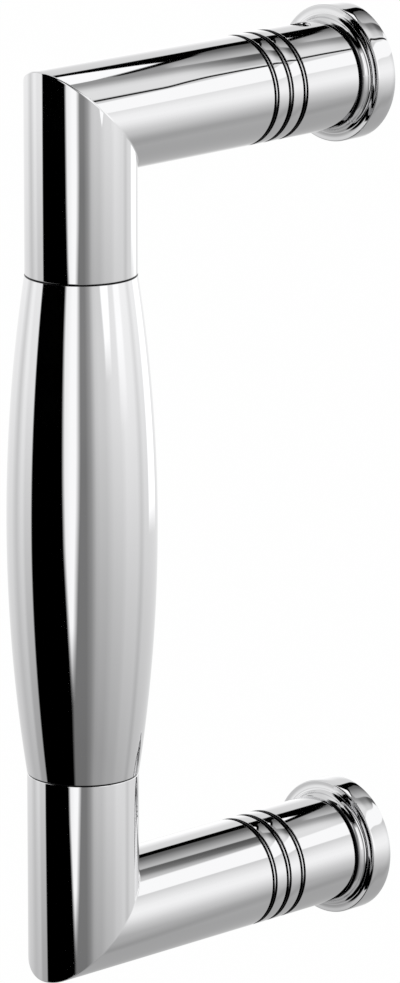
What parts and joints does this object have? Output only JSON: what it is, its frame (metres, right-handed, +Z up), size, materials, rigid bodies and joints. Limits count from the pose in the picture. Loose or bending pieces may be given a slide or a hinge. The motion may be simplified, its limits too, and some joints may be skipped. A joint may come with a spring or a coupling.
{
  "type": "door pull handle",
  "caption": "Chrome door pull: barrel-shaped grip between mitred elbows with grooved arms, on round coved roses, held by hidden posts and set screws.",
  "frame": {"origin": "on the door's face, halfway between the two fixing centres", "axes": "+Z up along the grip; +Y into the door, so the handle stands out towards -Y"},
  "size_m": [0.0376, 0.1125, 0.239],
  "materials": {
    "chrome": "polished bright chrome plate",
    "bright_steel": "turned, zinc plated",
    "dark_steel": "black oxide"
  },
  "bodies": {
    "root": {"grip": "chrome", "upper_elbow": "chrome", "lower_elbow": "chrome", "upper_rose": "chrome", "lower_rose": "chrome", "upper_stud": "bright_steel", "lower_stud": "bright_steel", "upper_dowel": "bright_steel", "lower_dowel": "bright_steel", "upper_post": "bright_steel", "lower_post": "bright_steel", "upper_grub_screw": "dark_steel", "lower_grub_screw": "dark_steel"}
  },
  "joints": []
}
